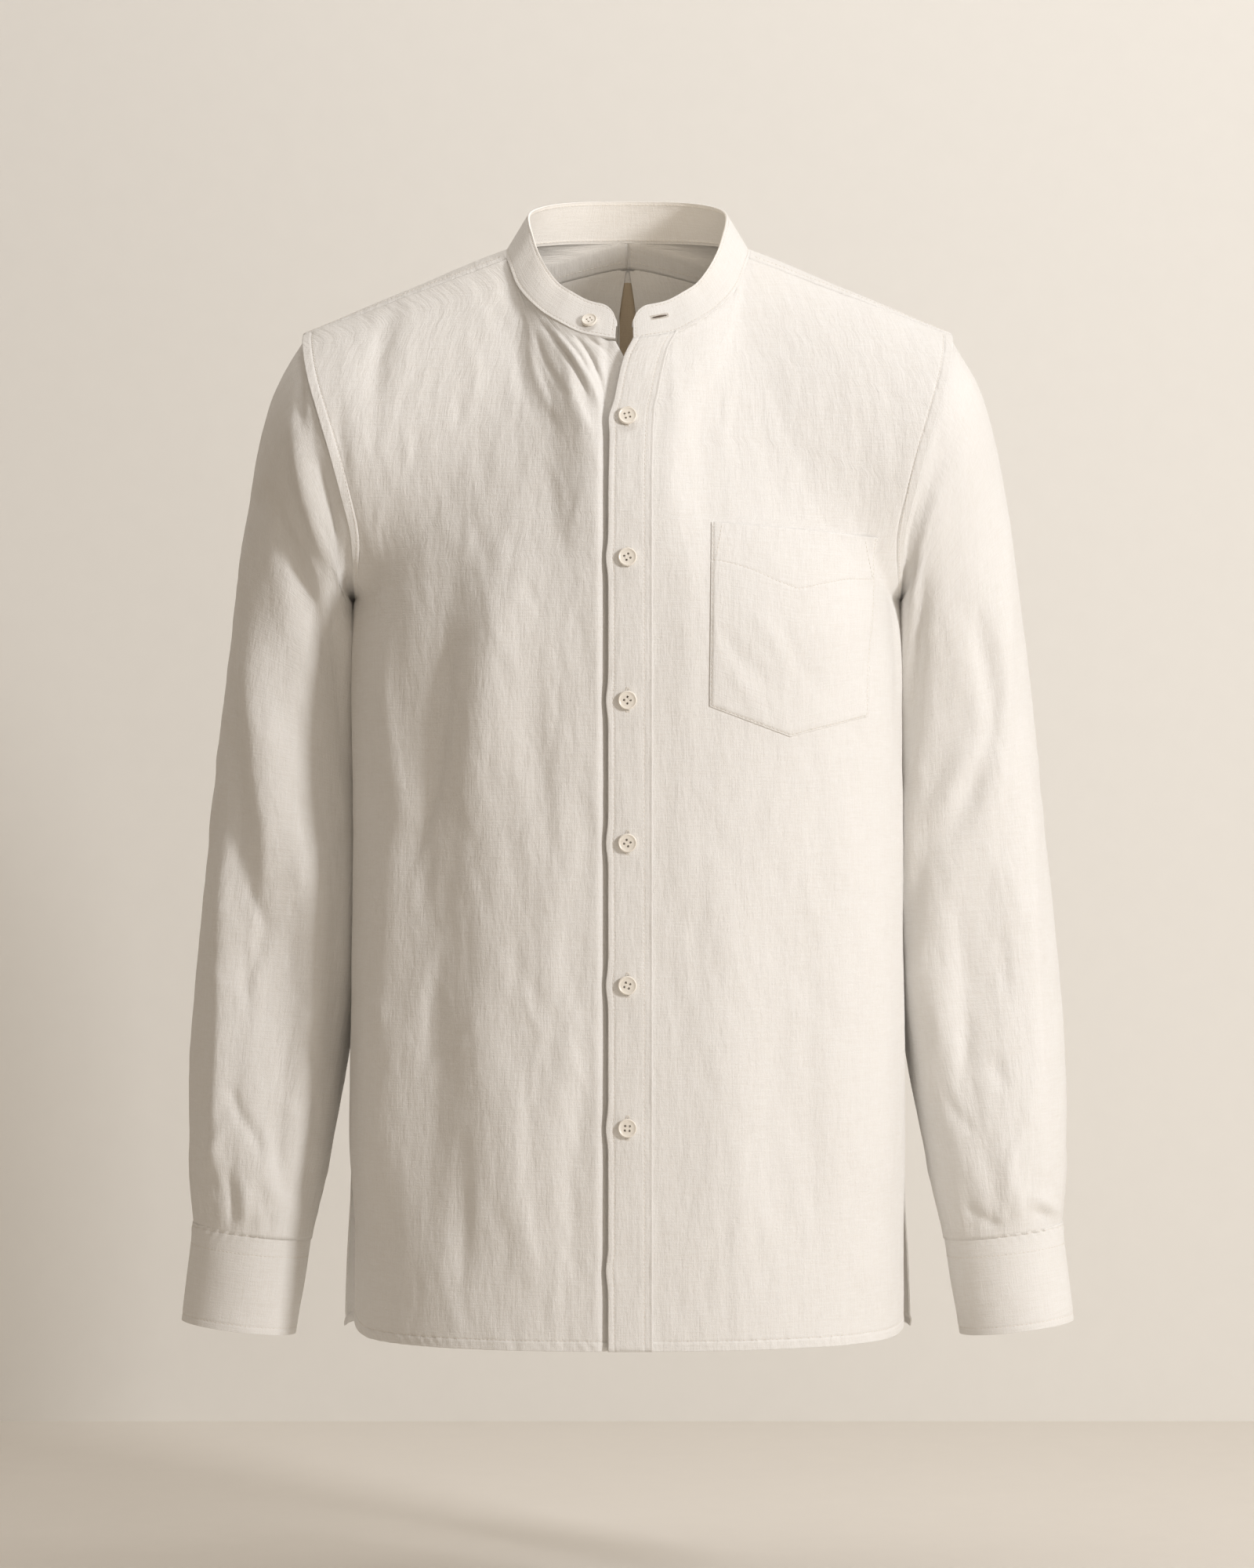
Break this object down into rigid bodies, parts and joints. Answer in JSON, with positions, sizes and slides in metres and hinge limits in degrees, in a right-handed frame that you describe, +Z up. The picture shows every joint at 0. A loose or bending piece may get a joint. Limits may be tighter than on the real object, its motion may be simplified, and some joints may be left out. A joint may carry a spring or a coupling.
{
  "type": "mandarin collar shirt",
  "caption": "Long-sleeved off-white linen shirt with a band collar, button placket, chest pocket and buttoned cuffs, filled out as worn.",
  "frame": {"origin": "midway between the two points where the shoulders meet the collar, where the wearer's neck and shoulders hold the shirt", "axes": "+Z up, -Y out of the front, +X towards the wearer's left"},
  "size_m": [0.6138, 0.2655, 0.787],
  "materials": {
    "linen": "matt plain-weave linen with slubs and soft creases, off-white",
    "button_shell": "satin, cream, turned with a raised rim"
  },
  "bodies": {
    "root": {"front_left": "linen", "front_right": "linen", "placket": "linen", "back": "linen", "yoke_left": "linen", "yoke_right": "linen", "collar_band": "linen", "sleeve_left": "linen", "sleeve_right": "linen", "cuff_left": "linen", "cuff_right": "linen", "sleeve_placket_left": "linen", "sleeve_placket_right": "linen", "pocket": "linen", "button_1": "button_shell", "button_2": "button_shell", "button_3": "button_shell", "button_4": "button_shell", "button_5": "button_shell", "button_6": "button_shell", "button_collar": "button_shell", "button_cuff_left": "button_shell", "button_cuff_right": "button_shell"}
  },
  "joints": []
}
